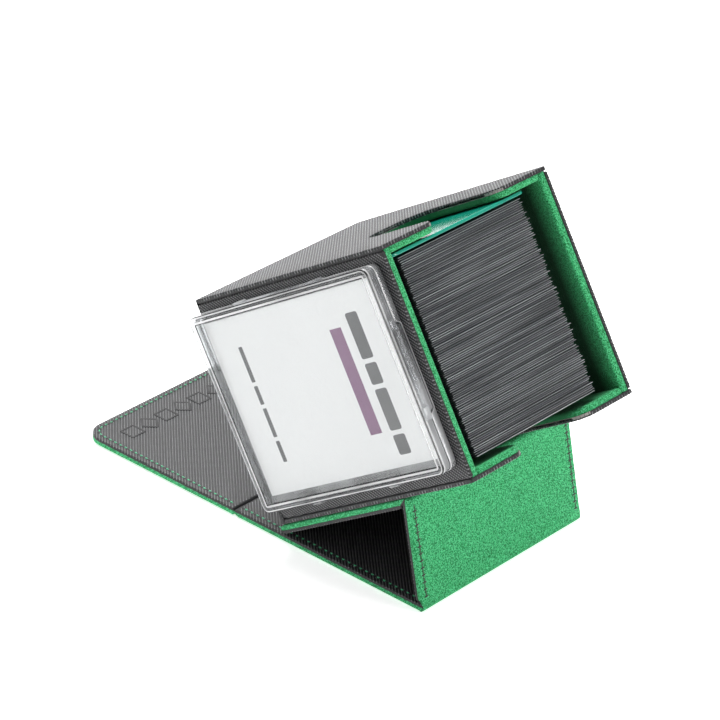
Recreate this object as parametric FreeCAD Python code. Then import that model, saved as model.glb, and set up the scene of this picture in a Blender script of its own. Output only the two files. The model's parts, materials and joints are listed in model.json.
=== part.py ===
"""Flip-cover card deck box, standing tilted on its own folded-back cover.

A lined box of covered board holds a deck of sleeved cards. A cover of four flat panels is hinged
to the box's low side. Folded back it makes a triangular stand: the lower panel lies against the
low side, the kick panel props it up, and the top panel and the flap lie flat on the table.
Folded forward the same panels close the mouth, and the flap is held to the high side by magnets.
A clear two-part display case on the front wall holds a printed insert.

Each sub-part is drawn in one of two local frames and then placed in the row frame:
- box frame: X from the high side (side A) to the low side (side B), Y from front to back,
  Z from the bottom to the mouth;
- panel frame: X along the panel from its hinge, Y from front to back, Z towards the green lining.
The row frame has its origin at the middle of the footprint on the table, +Z up, -Y at the front.
"""
import FreeCAD, Part
from FreeCAD import Placement, Rotation, Vector
from math import asin, cos, degrees, hypot, pi, radians, sin
import os

# Driving dimensions, in millimetres and degrees.
WIDTH = 87.0            # side A to side B
DEPTH = 89.0            # front to back
HEIGHT = 100.0          # bottom to mouth
TILT = 32.6             # how far the box's long axis rises from the table

SKIN = 0.6              # textured outer sheet
WALL_CORE = 1.6         # skin and board together
SIDE_LINING = 2.4
END_LINING = 3.0        # front and back walls
FLOOR_LINING = 1.4
CORNER_GROOVE = 0.5     # between a side wall and the front or back panel

NOTCH_MIDDLE = 46.0     # thumb notch, measured from the front
NOTCH_HALF_WIDTH = 16.0
NOTCH_BOTTOM = 58.0
NOTCH_BOTTOM_RADIUS = 11.0
NOTCH_FLARE = 6.5       # rounding where the notch meets the rim

PANEL = 3.2             # cover panel thickness
PANEL_BOARD = 0.7
PANEL_BOARD_INSET = 2.6
FOLD_CLEARANCE = 2.6    # from a fold's axis back to the flat end of the panel before it
LOWER_GAP = 0.35        # lower panel off side B
LOWER_HINGE_DROP = 1.4  # the lower fold hangs this far below the box's bottom
KICK_LENGTH = 40.0      # fold to fold
APEX_HEIGHT = 64.4      # kick fold above the box's bottom, along the box
FLAP_LENGTH = 76.0
FLAP_CORNER = 8.0
CLOSED_FLAP_GAP = 0.15  # closed flap off side A
TABLE_GAP = 0.25        # lower fold above the top panel it stands on

MAGNET_RADIUS = 5.0
MAGNET_SPACING = 44.0
MAGNET_FROM_TIP = 12.0

CARD_COUNT = 96
CARD_PITCH = 0.77
CARD_THICK = 0.5
CARD_WIDE = 67.5
CARD_TALL = 94.8
DECK_START = 6.7        # first card from side A's outer face
DIVIDER_START = 4.6
DIVIDER_THICK = 1.2
DIVIDER_WIDE = 72.0
BAY_SLACK = 0.25        # cards off the floor, divider off the front lining
CARD_GAP = 3.4          # cards off the front lining

CASE_LEFT, CASE_RIGHT = 4.9, 80.3
CASE_LOW, CASE_HIGH = 0.7, 96.9
CASE_DEPTH = 7.4
CASE_PARTING = 3.3      # from the front wall to the line between base and lid
CASE_SHEET = 1.2
CASE_CORNER = 3.0
CASE_PLAY = 0.2
LEDGE_WIDE = 2.4
LATCH_SHARE = 0.42      # of each side's length
INSERT_MIDDLE = (41.9, 48.6)
INSERT_SIZE = (66.4, 88.9)
INSERT_THICK = 0.4
INSERT_BACK = 3.6       # back face of the insert from the front wall

# Places that follow from them.
C, S = cos(radians(TILT)), sin(radians(TILT))
HALF = PANEL / 2
HINGE_U = WIDTH + LOWER_GAP + HALF
HINGE_T = -LOWER_HINGE_DROP
LIFT = HINGE_U * C - HINGE_T * S + PANEL + HALF + TABLE_GAP
LOWER_LENGTH = APEX_HEIGHT - HINGE_T
TOP_LENGTH = HINGE_U + CLOSED_FLAP_GAP + HALF


def in_table(u, t):
    """X and Z over the table, before centring, of a point in the box's side view."""
    return t * C + u * S, t * S - u * C + LIFT


LOWER_FOLD = in_table(HINGE_U, HINGE_T)
KICK_FOLD = in_table(HINGE_U, APEX_HEIGHT)
KICK_DROP = KICK_FOLD[1] - HALF
KICK_LEAN = degrees(asin(KICK_DROP / KICK_LENGTH))     # below level
TOP_FOLD = (KICK_FOLD[0] + KICK_LENGTH * cos(radians(KICK_LEAN)), HALF)
FLAP_FOLD = (TOP_FOLD[0] - TOP_LENGTH, HALF)
KICK_TURN = KICK_LEAN + TILT                           # lower panel to kick panel
TOP_TURN = 180 - KICK_LEAN                             # kick panel to top panel
X_LEFT = FLAP_FOLD[0] - FLAP_LENGTH
X_RIGHT = in_table(WIDTH, HEIGHT)[0]
X_MIDDLE = (X_LEFT + X_RIGHT) / 2
Y_MIDDLE = (DEPTH - CASE_DEPTH) / 2

BOX_PLACE = Placement(Vector(-X_MIDDLE, -Y_MIDDLE, LIFT), Rotation(Vector(0, 1, 0), 90 - TILT))
INNER_FRONT = WALL_CORE + END_LINING
INNER_SIDE = WALL_CORE + SIDE_LINING
FLOOR_TOP = WALL_CORE + FLOOR_LINING
MAGNET_HEIGHT = APEX_HEIGHT + KICK_LENGTH - FLAP_LENGTH + MAGNET_FROM_TIP


def block(x0, x1, y0, y1, z0, z1):
    return Part.makeBox(x1 - x0, y1 - y0, z1 - z0, Vector(x0, y0, z0))


def slab_with_corners(x0, x1, z0, z1, radius, y0, y1):
    """An upright slab, rounded at its four corners, from y0 to y1."""
    slab = block(x0, x1, y0, y1, z0, z1)
    along_y = [e for e in slab.Edges if abs(e.Vertexes[0].Y - e.Vertexes[1].Y) > 1e-6]
    return slab.makeFillet(radius, along_y)


def extrude_profile(edges, direction):
    return Part.Face(Part.Wire(edges)).extrude(direction)


def line(a, b):
    return Part.LineSegment(a, b).toShape()


def arc(a, middle, b):
    return Part.Arc(a, middle, b).toShape()


def thumb_notch():
    """The U-shaped cutter, in the Y-Z plane, through both side walls."""
    half, flare, low = NOTCH_HALF_WIDTH, NOTCH_FLARE, NOTCH_BOTTOM_RADIUS
    top, bottom = HEIGHT, NOTCH_BOTTOM
    bend = 1 - cos(pi / 4)

    def side(sign):
        def at(across, up):
            return Vector(-1, NOTCH_MIDDLE + sign * across, up)
        rim = at(half + flare, top)
        throat = at(half, top - flare)
        wall_end = at(half, bottom + low)
        floor_end = at(half - low, bottom)
        return [
            arc(rim, at(half + flare * bend, top - flare * bend), throat),
            line(throat, wall_end),
            arc(wall_end, at(half - low * bend, bottom + low * bend), floor_end),
        ], rim, floor_end, at(half + flare, top + 5)

    left, left_rim, left_floor, left_top = side(-1)
    right, right_rim, right_floor, right_top = side(1)
    edges = left + [line(left_floor, right_floor)] + right[::-1]
    edges += [line(right_rim, right_top), line(right_top, left_top), line(left_top, left_rim)]
    wire = Part.Wire(Part.sortEdges(edges)[0])
    return Part.Face(wire).extrude(Vector(WIDTH + 2, 0, 0))


NOTCH = thumb_notch()


def magnets_in_side():
    """Two discs let into side A's board, under where the closed flap's magnets come."""
    discs = []
    for sign in (-1, 1):
        y = DEPTH / 2 + sign * MAGNET_SPACING / 2
        centre = Vector(SKIN, y, MAGNET_HEIGHT)
        discs.append(Part.makeCylinder(MAGNET_RADIUS, WALL_CORE - SKIN, centre, Vector(1, 0, 0)))
    return Part.makeCompound(discs)


def side_wall(mirrored):
    """Skin, board and lining of side A, or of side B as its mirror image."""
    core = block(0, WALL_CORE, 0, DEPTH, SKIN, HEIGHT)
    board = block(SKIN, WALL_CORE, SKIN, DEPTH - SKIN, SKIN, HEIGHT - SKIN)
    lining = block(WALL_CORE, INNER_SIDE, INNER_FRONT, DEPTH - INNER_FRONT,
                   FLOOR_TOP, HEIGHT - SKIN / 2)
    skin = core.cut(board)
    if not mirrored:
        board = board.cut(magnets_in_side())
    layers = [skin, board, lining]
    if mirrored:
        middle = Vector(WIDTH / 2, 0, 0)
        layers = [s.mirror(middle, Vector(1, 0, 0)) for s in layers]
    return [s.cut(NOTCH) for s in layers]


def end_wall(mirrored):
    """Skin, board and lining of the front wall, or of the back wall as its mirror image."""
    x0, x1 = WALL_CORE + CORNER_GROOVE, WIDTH - WALL_CORE - CORNER_GROOVE
    core = block(x0, x1, 0, WALL_CORE, SKIN, HEIGHT)
    board = block(x0 + SKIN, x1 - SKIN, SKIN, WALL_CORE, SKIN, HEIGHT - SKIN)
    lining = block(WALL_CORE, WIDTH - WALL_CORE, WALL_CORE, INNER_FRONT,
                   FLOOR_TOP, HEIGHT - SKIN / 2)
    layers = [core.cut(board), board, lining]
    if mirrored:
        middle = Vector(0, DEPTH / 2, 0)
        layers = [s.mirror(middle, Vector(0, 1, 0)) for s in layers]
    return layers


def bottom():
    """Skin, board and lining of the bottom, and the strip that leads to the lower fold."""
    inner_x = (WALL_CORE, WIDTH - WALL_CORE)
    inner_y = (WALL_CORE, DEPTH - WALL_CORE)
    skin = block(0, WIDTH, 0, DEPTH, 0, SKIN)
    board = block(*inner_x, *inner_y, SKIN, WALL_CORE)
    lining = block(*inner_x, *inner_y, WALL_CORE, FLOOR_TOP)
    reach = HINGE_U - HALF - LOWER_GAP
    corners = [(reach - 9, 0), (reach, 0), (reach, HINGE_T - 0.4), (reach - 1.5, HINGE_T - 0.2)]
    points = [Vector(x, 0, z) for x, z in corners]
    edges = [line(a, b) for a, b in zip(points, points[1:] + points[:1])]
    strip = extrude_profile(edges, Vector(0, DEPTH, 0))
    return skin, board, lining, strip


def case_ring(y0, y1, inset, wide):
    """A rounded rectangular ring round the display case, inset from its outline."""
    outer = slab_with_corners(CASE_LEFT + inset, CASE_RIGHT - inset, CASE_LOW + inset,
                              CASE_HIGH - inset, max(CASE_CORNER - inset, 0.8), y0, y1)
    more = inset + wide
    inner = slab_with_corners(CASE_LEFT + more, CASE_RIGHT - more, CASE_LOW + more,
                              CASE_HIGH - more, max(CASE_CORNER - more, 0.6), y0 - 1, y1 + 1)
    return outer.cut(inner)


def latch_blocks(y0, y1, spread):
    """Blocks over the middle of the case's four sides, as wide as a latch plus the spread."""
    half_u = (CASE_RIGHT - CASE_LEFT) * LATCH_SHARE / 2 + spread
    half_t = (CASE_HIGH - CASE_LOW) * LATCH_SHARE / 2 + spread
    mid_u, mid_t = (CASE_LEFT + CASE_RIGHT) / 2, (CASE_LOW + CASE_HIGH) / 2
    across = block(CASE_LEFT - 1, CASE_RIGHT + 1, y0, y1, mid_t - half_t, mid_t + half_t)
    along = block(mid_u - half_u, mid_u + half_u, y0, y1, CASE_LOW - 1, CASE_HIGH + 1)
    return across.fuse(along)


def display_base():
    """Tray of the display case: back plate, outer wall with latch windows, ledge for the insert."""
    plate = slab_with_corners(CASE_LEFT, CASE_RIGHT, CASE_LOW, CASE_HIGH, CASE_CORNER,
                              -CASE_SHEET / 2, 0)
    wall = case_ring(-CASE_PARTING + CASE_PLAY / 2, -CASE_SHEET / 2, 0, CASE_SHEET)
    wall = wall.cut(latch_blocks(-CASE_PARTING - 1, -CASE_SHEET / 2, CASE_PLAY))
    ledge = case_ring(-INSERT_BACK, -CASE_SHEET / 2, CASE_SHEET + 1.0, LEDGE_WIDE + 1.0)
    return plate.fuse([wall, ledge]).removeSplitter()


def display_lid():
    """Cover of the display case: window plate, skirt, and a latch tab on each side."""
    plate = slab_with_corners(CASE_LEFT, CASE_RIGHT, CASE_LOW, CASE_HIGH, CASE_CORNER,
                              -CASE_DEPTH, -CASE_DEPTH + CASE_SHEET)
    skirt = case_ring(-CASE_DEPTH + CASE_SHEET, -CASE_PARTING - CASE_PLAY / 2, 0, CASE_SHEET)
    tabs = case_ring(-CASE_DEPTH + CASE_SHEET, -CASE_SHEET / 2 - CASE_PLAY, 0, CASE_SHEET)
    tabs = tabs.common(latch_blocks(-CASE_DEPTH, 0, 0))
    return plate.fuse([skirt, tabs]).removeSplitter()


def card_insert():
    (u, t), (wide, tall) = INSERT_MIDDLE, INSERT_SIZE
    return block(u - wide / 2, u + wide / 2, -INSERT_BACK - INSERT_THICK, -INSERT_BACK,
                 t - tall / 2, t + tall / 2)


def sleeved_cards():
    """The deck: one thin block per sleeved card, its far and top edges slightly uneven."""
    cards = []
    for i in range(CARD_COUNT):
        x = DECK_START + i * CARD_PITCH
        short = 0.9 + 0.6 * sin(2.4 * i) + 0.3 * sin(0.37 * i)
        low = 0.4 + 0.4 * sin(1.7 * i)
        front = INNER_FRONT + CARD_GAP
        cards.append(block(x, x + CARD_THICK, front, front + CARD_WIDE - short,
                           FLOOR_TOP + BAY_SLACK, FLOOR_TOP + CARD_TALL - low))
    return Part.makeCompound(cards)


def divider():
    front = INNER_FRONT + BAY_SLACK
    return block(DIVIDER_START, DIVIDER_START + DIVIDER_THICK, front, front + DIVIDER_WIDE,
                 FLOOR_TOP + BAY_SLACK, FLOOR_TOP + CARD_TALL + 0.5)


def panel_slab(length, low, high, tip_radius):
    """A cover panel's layer between two heights: round at its hinge, flat or rounded at its end."""
    end = length - (0 if tip_radius else FOLD_CLEARANCE)
    turns = [asin(low / HALF), asin(high / HALF)]
    turns.insert(1, sum(turns) / 2)
    bead = [(-HALF * cos(turn), HALF * sin(turn)) for turn in turns]
    rim = [(end, low), *bead, (end, high)]
    a, b, middle, c, d = [Vector(x, 0, z) for x, z in rim]
    slab = extrude_profile([line(a, b), arc(b, middle, c), line(c, d), line(d, a)],
                           Vector(0, DEPTH, 0))
    if tip_radius:
        edges = [e for e in slab.Edges
                 if all(abs(v.X - length) < 1e-6 for v in e.Vertexes)
                 and abs(e.Vertexes[0].Z - e.Vertexes[-1].Z) > 1e-6]
        slab = slab.makeFillet(tip_radius, edges)
    return slab


def cover_panel(length, tip_radius=0.0, magnets=None):
    """Skin, board and lining of one cover panel, in the panel frame."""
    glue_line = -HALF + SKIN + PANEL_BOARD
    inset = PANEL_BOARD_INSET
    end = length - inset - (0 if tip_radius else FOLD_CLEARANCE)
    board = block(inset / 2, end, inset / 2, DEPTH - inset / 2, -HALF + SKIN, glue_line)
    if tip_radius:
        tip = [e for e in board.Edges if all(abs(v.X - end) < 1e-6 for v in e.Vertexes)
               and abs(e.Vertexes[0].Z - e.Vertexes[-1].Z) > 1e-6]
        board = board.makeFillet(tip_radius - inset, tip)
    skin = panel_slab(length, -HALF, glue_line, tip_radius).cut(board)
    lining = panel_slab(length, glue_line, HALF, tip_radius)
    if magnets:
        board = board.cut(magnets)
    return skin, board, lining


def magnets_in_flap():
    discs = []
    for sign in (-1, 1):
        y = DEPTH / 2 + sign * MAGNET_SPACING / 2
        centre = Vector(FLAP_LENGTH - MAGNET_FROM_TIP, y, -HALF + SKIN)
        discs.append(Part.makeCylinder(MAGNET_RADIUS, PANEL_BOARD, centre))
    return Part.makeCompound(discs)


def panel_place(fold, turn):
    """From the panel frame to the row frame: hinge axis at the fold, turned about +Y."""
    return Placement(Vector(fold[0] - X_MIDDLE, -Y_MIDDLE, fold[1]), Rotation(Vector(0, 1, 0), turn))


def box_nodes():
    nodes = {}
    for name, layers in (("side_a", side_wall(False)), ("side_b", side_wall(True)),
                         ("front", end_wall(False)), ("back", end_wall(True))):
        for layer, shape in zip(("skin", "board", "lining"), layers):
            nodes[f"{name}_{layer}"] = shape
    names = ("bottom_skin", "bottom_board", "floor_lining", "hinge_strip")
    nodes.update(zip(names, bottom()))
    nodes["side_magnets"] = magnets_in_side()
    nodes["display_base"] = display_base()
    nodes["display_lid"] = display_lid()
    nodes["card_insert"] = card_insert()
    nodes["sleeved_cards"] = sleeved_cards()
    nodes["divider"] = divider()
    return {name: (shape, BOX_PLACE) for name, shape in nodes.items()}


def cover_nodes():
    flap_discs = magnets_in_flap()
    panels = {
        "lower": (cover_panel(LOWER_LENGTH), panel_place(LOWER_FOLD, -TILT)),
        "kick": (cover_panel(KICK_LENGTH), panel_place(KICK_FOLD, KICK_LEAN)),
        "top": (cover_panel(TOP_LENGTH), panel_place(TOP_FOLD, 180)),
        "flap": (cover_panel(FLAP_LENGTH, FLAP_CORNER, flap_discs), panel_place(FLAP_FOLD, 180)),
    }
    nodes = {}
    for name, (layers, place) in panels.items():
        for layer, shape in zip(("skin", "board", "lining"), layers):
            nodes[f"{name}_{layer}"] = (shape, place)
    nodes["flap_magnets"] = (flap_discs, panels["flap"][1])
    return nodes


def main():
    os.makedirs("parts", exist_ok=True)
    for name, (shape, place) in {**box_nodes(), **cover_nodes()}.items():
        placed = shape.copy()
        placed.Placement = place.multiply(placed.Placement)
        placed.exportStep(f"parts/{name}.step")


if __name__ == "__main__":
    main()
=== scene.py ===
"""Looks of a tilted flip-cover card deck box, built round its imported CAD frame.

Every piece is a surface worked out in millimetres in one of the object's own local frames and then
placed in the row frame: the box's frame (u from the high side to the low side, v from front to back,
t from the bottom to the mouth) or a cover panel's frame (x away from its fold, y from front to back,
z towards the green lining).
"""
import json
from math import cos, pi, radians, sin

import bpy
import numpy as np
from bpy.props import FloatProperty, FloatVectorProperty, PointerProperty
from bpy.types import Operator, Panel, PropertyGroup
from mathutils import Matrix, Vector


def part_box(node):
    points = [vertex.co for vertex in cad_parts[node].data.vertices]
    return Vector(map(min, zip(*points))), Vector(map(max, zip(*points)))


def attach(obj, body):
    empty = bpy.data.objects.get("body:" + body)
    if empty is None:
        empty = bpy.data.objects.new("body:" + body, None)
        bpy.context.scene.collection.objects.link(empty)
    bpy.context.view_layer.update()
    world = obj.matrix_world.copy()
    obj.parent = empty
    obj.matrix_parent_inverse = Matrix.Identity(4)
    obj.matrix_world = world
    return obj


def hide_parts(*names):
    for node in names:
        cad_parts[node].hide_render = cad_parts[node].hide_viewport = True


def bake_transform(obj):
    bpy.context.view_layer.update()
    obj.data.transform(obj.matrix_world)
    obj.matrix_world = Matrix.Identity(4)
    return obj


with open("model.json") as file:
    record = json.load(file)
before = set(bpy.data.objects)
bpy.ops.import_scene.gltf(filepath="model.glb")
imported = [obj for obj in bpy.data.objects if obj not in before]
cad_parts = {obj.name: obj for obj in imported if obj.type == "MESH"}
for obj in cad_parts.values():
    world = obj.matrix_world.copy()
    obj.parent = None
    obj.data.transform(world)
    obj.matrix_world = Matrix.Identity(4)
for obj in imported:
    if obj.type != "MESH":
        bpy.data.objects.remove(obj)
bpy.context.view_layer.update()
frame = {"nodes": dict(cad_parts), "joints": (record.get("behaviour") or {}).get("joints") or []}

bl_info = {
    "name": "Flip-cover deck box",
    "version": (1, 0, 0),
    "blender": (4, 5, 0),
    "location": "3D View > Sidebar > Deck box",
    "description": "Builds the covered board, suede lining, display case and cards of a deck box",
    "category": "Object",
}

MM = 0.001
JOINTS = {j["name"]: j for j in frame["joints"]}

# Lengths in millimetres that the CAD part was drawn to.
WIDTH, DEPTH, HEIGHT = 87.0, 89.0, 100.0
SKIN, WALL = 0.6, 1.6
INNER_SIDE, INNER_FRONT, FLOOR_TOP = 4.0, 4.6, 3.0
GROOVE = 0.5
NOTCH_MIDDLE, NOTCH_HALF, NOTCH_BOTTOM = 46.0, 16.0, 58.0
NOTCH_LOW_RADIUS, NOTCH_FLARE = 11.0, 6.5
HALF, GLUE_LINE, BOARD_TOP = 1.6, -0.3, -1.0
CLEARANCE = 2.6
FLAP_LENGTH, FLAP_CORNER = 76.0, 8.0
CASE = (4.9, 0.7, 80.3, 96.9)
CASE_DEPTH, CASE_PARTING, CASE_SHEET, CASE_CORNER, CASE_PLAY = 7.4, 3.3, 1.2, 3.0, 0.2
LATCH_SHARE = 0.42
INSERT_MIDDLE, INSERT_SIZE, INSERT_BACK, INSERT_THICK = (41.9, 48.6), (66.4, 88.9), 3.6, 0.4
CARDS, CARD_PITCH, CARD_THICK, CARD_WIDE, CARD_TALL, DECK_START = 96, 0.77, 0.5, 67.5, 94.8, 6.7
DIVIDER_START, DIVIDER_THICK, DIVIDER_WIDE = 4.6, 1.2, 72.0
BAY_SLACK, CARD_GAP = 0.25, 3.4


# ---------------------------------------------------------------- settings

def length(name, description, default):
    """A length property, given in millimetres."""
    return FloatProperty(name=name, description=description, default=default * MM, min=0.0,
                         unit="LENGTH", subtype="DISTANCE", precision=5)


def colour(name, description, default):
    return FloatVectorProperty(name=name, description=description, default=default, size=3,
                               min=0.0, max=1.0, subtype="COLOR")


class DeckBoxSizes(PropertyGroup):
    rib_pitch: length("Rib pitch", "Distance between the ribs of the outer sheet", 1.05)
    rib_width: length("Rib width", "Width of a rib at its foot", 0.56)
    rib_height: length("Rib height", "How far a rib stands off the sheet", 0.13)
    stitch_pitch: length("Stitch pitch", "Distance from one stitch to the next", 2.7)
    stitch_length: length("Stitch length", "Length of thread that shows", 1.75)
    stitch_width: length("Stitch width", "Thickness of the thread", 0.66)
    seam_inset: length("Seam inset", "Seam line in from a panel's edge", 2.5)
    lining_round: length("Lining roundness", "Edge rounding of the suede lining", 0.8)


class DeckBoxColours(PropertyGroup):
    sheet: colour("Outer sheet", "Black sheet between the ribs", (0.0065, 0.0068, 0.0075))
    rib: colour("Ribs", "Ribs of the outer sheet", (0.215, 0.217, 0.222))
    suede: colour("Suede", "Green lining", (0.034, 0.46, 0.145))
    suede_shade: colour("Suede against the nap", "Green lining brushed the other way",
                        (0.014, 0.25, 0.075))
    thread: colour("Outside thread", "Thread on the black side", (0.13, 0.70, 0.36))
    thread_dark: colour("Inside thread", "Thread on the green side", (0.002, 0.022, 0.008))
    sleeve: colour("Sleeves", "Card sleeves seen on edge", (0.020, 0.024, 0.028))
    divider: colour("Divider", "Divider sheet", (0.0, 0.27, 0.18))
    insert: colour("Insert", "Printed card", (0.81, 0.81, 0.81))
    band: colour("Band", "Coloured band on the printed card", (0.19, 0.065, 0.17))
    print_grey: colour("Print", "Bars on the printed card", (0.075, 0.075, 0.08))


def size(name):
    """A size setting in millimetres."""
    return getattr(bpy.context.scene.deck_box_sizes, name) / MM


def tint(name):
    return (*getattr(bpy.context.scene.deck_box_colours, name), 1.0)


# ---------------------------------------------------------------- local frames

def unit(v):
    """Vectors divided by their own length."""
    return v / np.linalg.norm(v, axis=-1, keepdims=True)


class Place:
    """A local frame: an origin in metres and three axes, the third across the first two."""

    def __init__(self, origin, x, y):
        self.origin, self.x, self.y = (np.array(a, float) for a in (origin, x, y))
        self.z = np.cross(self.x, self.y)

    def at(self, points):
        """Origin plus each coordinate times its axis."""
        return self.origin + MM * (np.asarray(points, float) @ np.stack([self.x, self.y, self.z]))

    def turned(self, corner, x, y):
        """The frame at a corner of this one, with two of this one's axes as its first two."""
        axes = {"x": self.x, "y": self.y, "z": self.z}
        return Place(self.at(corner), axes[x], axes[y])


def box_place():
    """Origin at the front bottom edge of the high side, from the bottom skin's box."""
    up = np.array(JOINTS["deck_slide"]["axis"], float)
    low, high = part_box("bottom_skin")
    origin = (low[0], low[1], high[2] - SKIN * MM * up[2])
    return Place(origin, np.cross((0, 1, 0), up), (0, 1, 0))


def panel_places():
    """Each panel's frame and its length, from one fold to the next."""
    folds = [np.array(JOINTS[n]["pos_m"], float)
             for n in ("lower_fold", "kick_fold", "top_fold", "flap_fold")]
    front = BOX.origin[1]
    places = {}
    for name, a, b in zip(("lower", "kick", "top"), folds, folds[1:]):
        places[name] = (Place((a[0], front, a[2]), unit(b - a), (0, 1, 0)),
                        float(np.linalg.norm(b - a)) / MM)
    last = places["top"][0]
    places["flap"] = (Place((folds[3][0], front, folds[3][2]), last.x, last.y), FLAP_LENGTH)
    return places


BOX = box_place()
PANELS = panel_places()
SIDE_A = BOX.turned((0, 0, 0), "z", "y")            # first axis t, second v, out of the high side
SIDE_B = BOX.turned((WIDTH, 0, 0), "y", "z")        # v, t, out of the low side
FRONT = BOX.turned((0, 0, 0), "x", "z")             # u, t, out of the front
BACK = BOX.turned((0, DEPTH, 0), "z", "x")          # t, u, out of the back
BOTTOM = BOX.turned((0, 0, 0), "y", "x")            # v, u, out of the bottom


def outside(panel):
    """A panel's frame seen from its black side: first axis y, second x, up out of the black."""
    return PANELS[panel][0].turned((0, 0, 0), "y", "x")


# ---------------------------------------------------------------- outlines and surfaces

def ring(corners, radii, inset=0.0, step=3.0, arc=7):
    """A closed outline drawn in by a distance: straight runs between corners, each corner an arc
    tangent to its two sides. The point count doesn't depend on the inset, so rings can be joined."""
    c = np.asarray(corners, float)
    radii = np.broadcast_to(np.asarray(radii, float), len(c)).copy()

    def arcs(centre_line, r):
        before = unit(np.roll(centre_line, 1, 0) - centre_line)
        after = unit(np.roll(centre_line, -1, 0) - centre_line)
        half = np.arccos(np.clip((before * after).sum(1), -1, 1)) / 2
        middle = centre_line + unit(before + after) * (r / np.sin(half))[:, None]
        start = centre_line + before * (r / np.tan(half))[:, None]
        end = centre_line + after * (r / np.tan(half))[:, None]
        return start, end, middle, pi - 2 * half, unit(before + after), np.sin(half), before, after

    start, end, _, _, bisector, sine, before, after = arcs(c, radii)
    counts = np.maximum((np.linalg.norm(np.roll(start, -1, 0) - end, axis=1) / step).astype(int), 1)
    convex = np.sign(-before[:, 0] * after[:, 1] + before[:, 1] * after[:, 0])
    moved = c + bisector * (inset / sine * convex)[:, None]
    start, end, middle, angle, *_ = arcs(moved, np.maximum(radii - inset * convex, 0.03))
    f = np.linspace(0, 1, arc)[:, None, None]
    swing = (np.sin((1 - f) * angle[:, None]) * (start - middle)
             + np.sin(f * angle[:, None]) * (end - middle)) / np.sin(angle[:, None]) + middle
    pieces = []
    for i, n in enumerate(counts):
        run = np.linspace(0, 1, n + 1)[1:-1, None]
        pieces += [swing[:, i], end[i] + run * (np.roll(start, -1, 0)[i] - end[i])]
    return np.concatenate(pieces)


def wrap_faces(rows, columns):
    """Four-sided faces between the rows of a grid whose columns close on themselves."""
    i = np.arange(rows - 1)[:, None] * columns
    j = np.arange(columns)
    k = np.roll(j, -1)
    return np.stack([i + j, i + k, i + columns + k, i + columns + j], -1).reshape(-1, 4)


def plate(corners, radii, levels, step=3.0, arc=7, inward=False):
    """A closed plate: one ring for each level (inset, height), joined in order, with its first and
    last ring filled. A height may be an array along the ring."""
    rings = [ring(corners, radii, inset, step, arc) for inset, _ in levels]
    n = len(rings[0])
    points = np.concatenate([np.column_stack([r, np.broadcast_to(h, n)])
                             for r, (_, h) in zip(rings, levels)])
    faces = wrap_faces(len(levels), n).tolist()
    faces += [list(range(n - 1, -1, -1)), list(range((len(levels) - 1) * n, len(levels) * n))]
    if inward:
        faces = [f[::-1] for f in faces]
    return points, faces


def rounded_levels(low, high, bottom, top, steps=4):
    """Levels of a plate from low to high whose lower and upper edges are quarter rounds."""
    a = np.linspace(0, pi / 2, steps)
    down = [(bottom * (1 - sin(q)), low + bottom * (1 - cos(q))) for q in a]
    up = [(top * (1 - cos(q)), high - top * (1 - sin(q))) for q in a]
    return [(bottom + 0.05, low)] + down + up + [(top + 0.05, high)]


def tubes(rings):
    """Closed tubes from an array (tube, ring, point, 3): rings joined in order, both ends filled.
    A ring's points go round its tube's direction as a right-handed screw turns."""
    n, r, m, _ = rings.shape
    starts = np.arange(n) * r * m
    sides = (starts[:, None, None] + wrap_faces(r, m)).reshape(-1, 4)
    first = starts[:, None] + np.arange(m)[::-1]
    last = starts[:, None] + (r - 1) * m + np.arange(m)
    return rings.reshape(-1, 3), sides.tolist() + first.tolist() + last.tolist()


def bar(profile, y0, y1, ease=0.25, stations=12):
    """A closed profile (x, z) carried along y, drawn in a little at both ends."""
    p = np.asarray(profile, float)
    area = (p[:, 0] * np.roll(p[:, 1], -1) - np.roll(p[:, 0], -1) * p[:, 1]).sum()
    if area > 0:
        p = p[::-1]
    centre = p.mean(0)
    y = np.concatenate([[y0], np.linspace(y0 + ease, y1 - ease, stations), [y1]])
    scale = np.full(len(y), 1.0)
    scale[[0, -1]] = 0.8
    flat = centre + (p - centre) * scale[:, None, None]
    rings = np.stack([flat[..., 0], np.broadcast_to(y[:, None], flat.shape[:2]), flat[..., 1]], -1)
    return tubes(rings[None])


def sweep(path, normals, sections):
    """Tubes along paths (tube, station, 3): each station's section points (side, up) are laid off
    along the cross product of the normal and the path's direction, and along the normal."""
    along = np.gradient(path, axis=1)
    along = unit(along - (along * normals).sum(-1, keepdims=True) * normals)
    side = np.cross(normals, along)
    s = np.asarray(sections, float)
    return tubes(path[:, :, None] + s[..., :1] * side[:, :, None] + s[..., 1:] * normals[:, :, None])


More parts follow.
